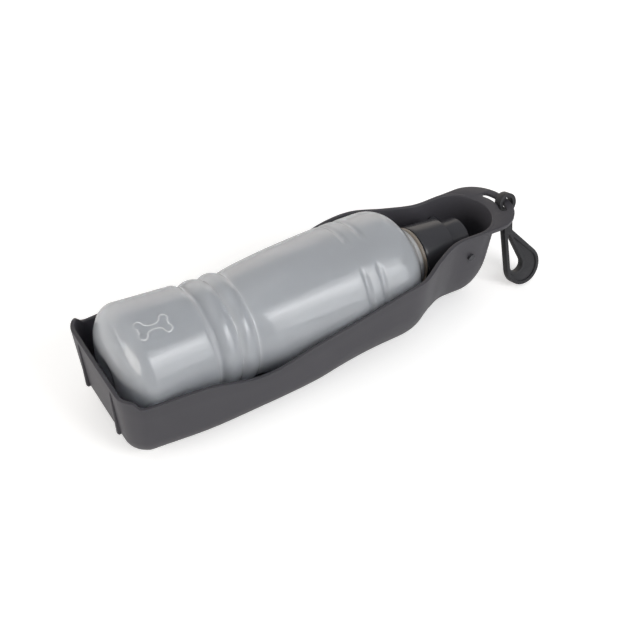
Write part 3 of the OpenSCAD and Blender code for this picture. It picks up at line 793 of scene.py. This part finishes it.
def thread_group():
    group = bpy.data.node_groups.new("thread_ridge", "GeometryNodeTree")
    face = group.interface
    for name, value in (("Radius", 14.0), ("Pitch", 4.0), ("Turns", 2.0), ("Ridge", 0.6)):
        socket = face.new_socket(name, in_out="INPUT", socket_type="NodeSocketFloat")
        socket.default_value = value
    face.new_socket("Material", in_out="INPUT", socket_type="NodeSocketMaterial")
    face.new_socket("Geometry", in_out="OUTPUT", socket_type="NodeSocketGeometry")
    nodes, links = group.nodes, group.links
    inputs = nodes.new("NodeGroupInput")
    outputs = nodes.new("NodeGroupOutput")
    height = nodes.new("ShaderNodeMath")
    height.operation = "MULTIPLY"
    links.new(inputs.outputs["Pitch"], height.inputs[0])
    links.new(inputs.outputs["Turns"], height.inputs[1])
    spiral = nodes.new("GeometryNodeCurveSpiral")
    spiral.inputs["Resolution"].default_value = 72
    spiral.inputs["Reverse"].default_value = True
    links.new(inputs.outputs["Turns"], spiral.inputs["Rotations"])
    links.new(inputs.outputs["Radius"], spiral.inputs["Start Radius"])
    links.new(inputs.outputs["Radius"], spiral.inputs["End Radius"])
    links.new(height.outputs[0], spiral.inputs["Height"])
    ring = nodes.new("GeometryNodeCurvePrimitiveCircle")
    ring.inputs["Resolution"].default_value = 12
    links.new(inputs.outputs["Ridge"], ring.inputs["Radius"])
    sweep = nodes.new("GeometryNodeCurveToMesh")
    sweep.inputs["Fill Caps"].default_value = True
    links.new(spiral.outputs["Curve"], sweep.inputs["Curve"])
    links.new(ring.outputs["Curve"], sweep.inputs["Profile Curve"])
    real = nodes.new("GeometryNodeRealizeInstances")
    paint = nodes.new("GeometryNodeSetMaterial")
    links.new(sweep.outputs["Mesh"], real.inputs["Geometry"])
    links.new(real.outputs["Geometry"], paint.inputs["Geometry"])
    links.new(inputs.outputs["Material"], paint.inputs["Material"])
    links.new(paint.outputs["Geometry"], outputs.inputs["Geometry"])
    return group


def run_group(name, group, values):
    """Runs a node group once and returns its mesh, in millimetres."""
    host = bpy.data.objects.new(name, bpy.data.meshes.new(name))
    bpy.context.scene.collection.objects.link(host)
    modifier = host.modifiers.new("rule", "NODES")
    modifier.node_group = group
    for item in group.interface.items_tree:
        if item.in_out == "INPUT" and item.name in values:
            modifier[item.identifier] = values[item.name]
    bpy.context.view_layer.update()
    evaluated = host.evaluated_get(bpy.context.evaluated_depsgraph_get())
    mesh = bpy.data.meshes.new_from_object(evaluated)
    host.modifiers.clear()
    bpy.data.objects.remove(host)
    return mesh


def on_axis(x):
    """The bottle's axis: local +Z becomes +X at height AXIS_Z, and millimetres metres."""
    turn = Matrix.Rotation(math.radians(90), 4, "Y")
    return Matrix.Scale(MM, 4) @ Matrix.Translation((x, 0, AXIS_Z)) @ turn


THREAD_PITCH, THREAD_TURNS, THREAD_RIDGE = 4.0, 2.0, 0.55
CAP_THREAD_R = 14.45
NECK_THREAD_X = -23.0
CAP_THREAD_X = NECK_THREAD_X - THREAD_PITCH / 2


def make_thread(name, group, radius, start, body, material):
    values = {"Radius": radius, "Pitch": THREAD_PITCH, "Turns": THREAD_TURNS,
              "Ridge": THREAD_RIDGE, "Material": material}
    mesh = run_group(name, group, values)
    mesh.transform(on_axis(start))
    outward_faces(mesh)
    smooth(mesh)
    piece = piece_from(name, mesh, material)
    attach(piece, body)
    print(name, "starts at x =", start, "mm")


ridge = thread_group()
make_thread("neck_thread", ridge, NECK_R, NECK_THREAD_X, "bottle", bottle_plastic)
make_thread("cap_thread", ridge, CAP_THREAD_R, CAP_THREAD_X, "cap", cap_plastic)

# %% [markdown]
# ## Softened edges
# A moulded edge is never sharp, and its small radius is what catches the light. The strap
# and the cap keep the CAD shape: each gets a copy of its CAD mesh, merged to a closed skin,
# with a narrow bevel along every edge that is sharper than thirty degrees.

# %% Softened pieces


SHARP_ANGLE, FLAT_ANGLE, MERGE_DIST = 30.0, 0.4, 2e-6


def softened(node, body, width, material):
    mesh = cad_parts[node].data.copy()
    bm = bmesh.new()
    bm.from_mesh(mesh)
    bmesh.ops.remove_doubles(bm, verts=bm.verts, dist=MERGE_DIST)
    bmesh.ops.dissolve_limit(bm, angle_limit=math.radians(FLAT_ANGLE), verts=bm.verts,
                             edges=bm.edges)
    bm.to_mesh(mesh)
    bm.free()
    host = bpy.data.objects.new(node + "_soft", mesh)
    bpy.context.scene.collection.objects.link(host)
    bevel = host.modifiers.new("edge", "BEVEL")
    bevel.width = width * MM
    bevel.segments = 2
    bevel.limit_method = "ANGLE"
    bevel.angle_limit = math.radians(SHARP_ANGLE)
    bpy.context.view_layer.update()
    evaluated = host.evaluated_get(bpy.context.evaluated_depsgraph_get())
    shaped = bpy.data.meshes.new_from_object(evaluated)
    host.modifiers.clear()
    bpy.data.objects.remove(host)
    smooth(shaped)
    piece = piece_from(node + "_soft", shaped, material)
    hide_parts(node)
    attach(piece, body)
    print(node, "has", len(shaped.polygons), "faces with its bevels")


softened("hang_strap", "strap", 0.35, strap_plastic)
softened("screw_cap", "cap", 0.25, cap_plastic)

# %% [markdown]
# ## Pieces that stay as they are
# The pivot head, of which the camera sees the upper part, already has rounded edges in the
# CAD model, and the three seals are shut inside it and the cap. So these four keep their CAD
# meshes and only get materials: the cap's dark plastic, and a pale silicone rubber.

# %% CAD nodes that stay
FINISH = {
    "pivot_head": cap_plastic,
    "valve_seal": seal_rubber,
    "spout_o_ring": seal_rubber,
    "cap_washer": seal_rubber,
}
for name, material in FINISH.items():
    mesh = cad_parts[name].data
    mesh.materials.clear()
    mesh.materials.append(material)
print("kept from the CAD model:", sorted(FINISH))

# %% [markdown]
# ## Finish
# The view layer is updated once more at the end.

# %% Finish
bpy.context.view_layer.update()
